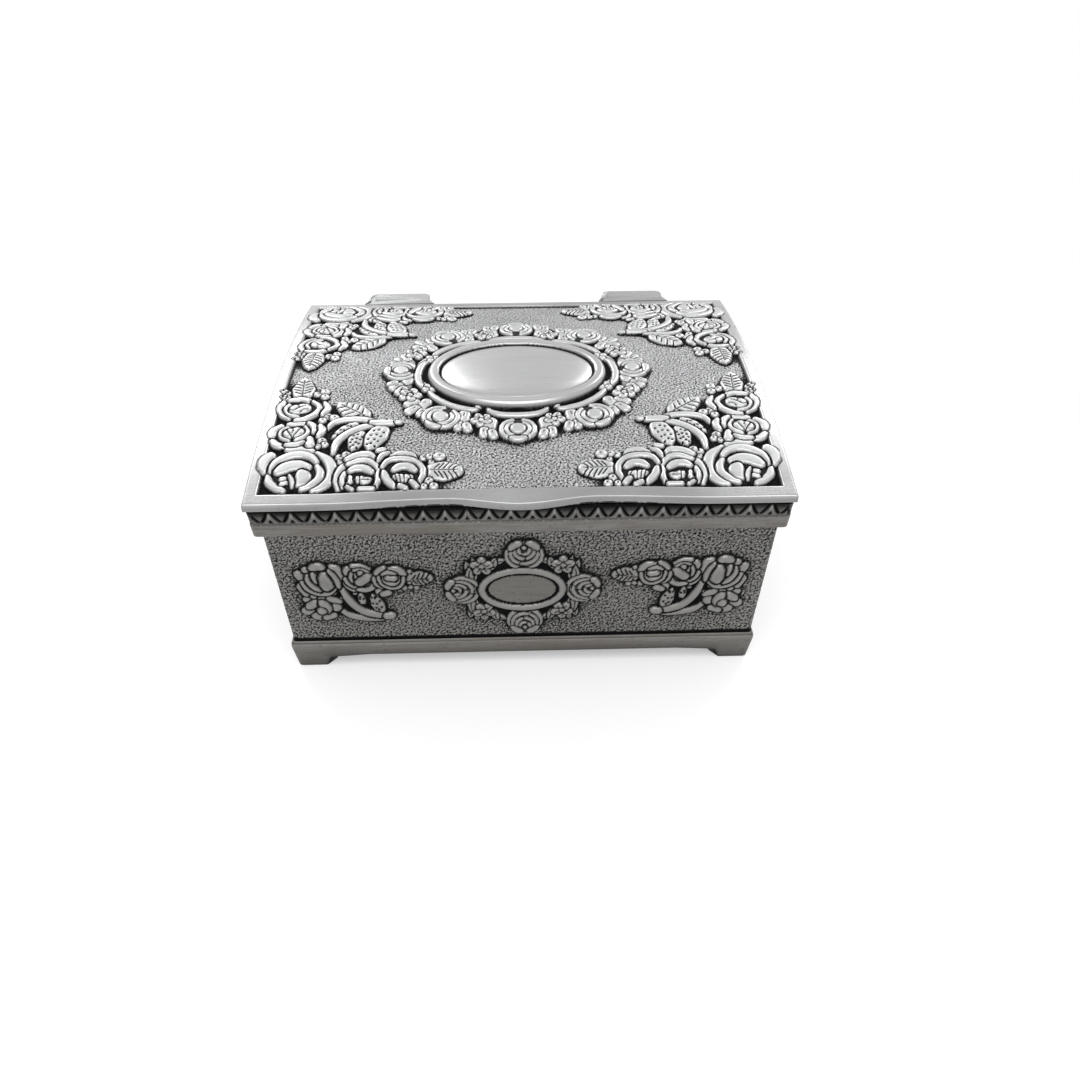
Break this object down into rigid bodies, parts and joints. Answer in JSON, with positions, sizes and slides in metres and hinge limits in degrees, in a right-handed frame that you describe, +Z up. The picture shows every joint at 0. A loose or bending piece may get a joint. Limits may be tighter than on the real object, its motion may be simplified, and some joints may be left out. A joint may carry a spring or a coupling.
{
  "type": "metal trinket box",
  "caption": "Rectangular keepsake box of antiqued cast metal with an arched, hinged lid, floral reliefs, a carved rim, bracket feet and a velvet lining.",
  "frame": {"origin": "under the middle of the whole box's bounding box, on the surface its feet stand on", "axes": "+Z up; +X to the right seen from the front, along the length; the front with the thumb lip faces -Y and the hinges are on the +Y side"},
  "size_m": [0.12, 0.1058, 0.0581],
  "materials": {
    "antique_pewter": "antiqued white metal, bright on the raised parts and black in the recesses",
    "pin_steel": "drawn steel",
    "lining_card": "grey-brown board",
    "black_velvet": "short black pile"
  },
  "bodies": {
    "box": {"wall_casting": "antique_pewter", "base_casting": "antique_pewter", "floor_card": "lining_card", "floor_velvet": "black_velvet", "front_lining_card": "lining_card", "front_lining_velvet": "black_velvet", "back_lining_card": "lining_card", "back_lining_velvet": "black_velvet", "left_lining_card": "lining_card", "left_lining_velvet": "black_velvet", "right_lining_card": "lining_card", "right_lining_velvet": "black_velvet"},
    "lid": {"lid_casting": "antique_pewter", "hinge_pin_left": "pin_steel", "hinge_pin_right": "pin_steel", "lid_lining_card": "lining_card", "lid_lining_velvet": "black_velvet"}
  },
  "joints": [
    {"name": "lid_hinge", "type": "hinge", "parent": "box", "child": "lid", "pos_m": [0, 0.05015, 0.0502], "axis": [-1, 0, 0], "range_deg": [0, 107]}
  ]
}
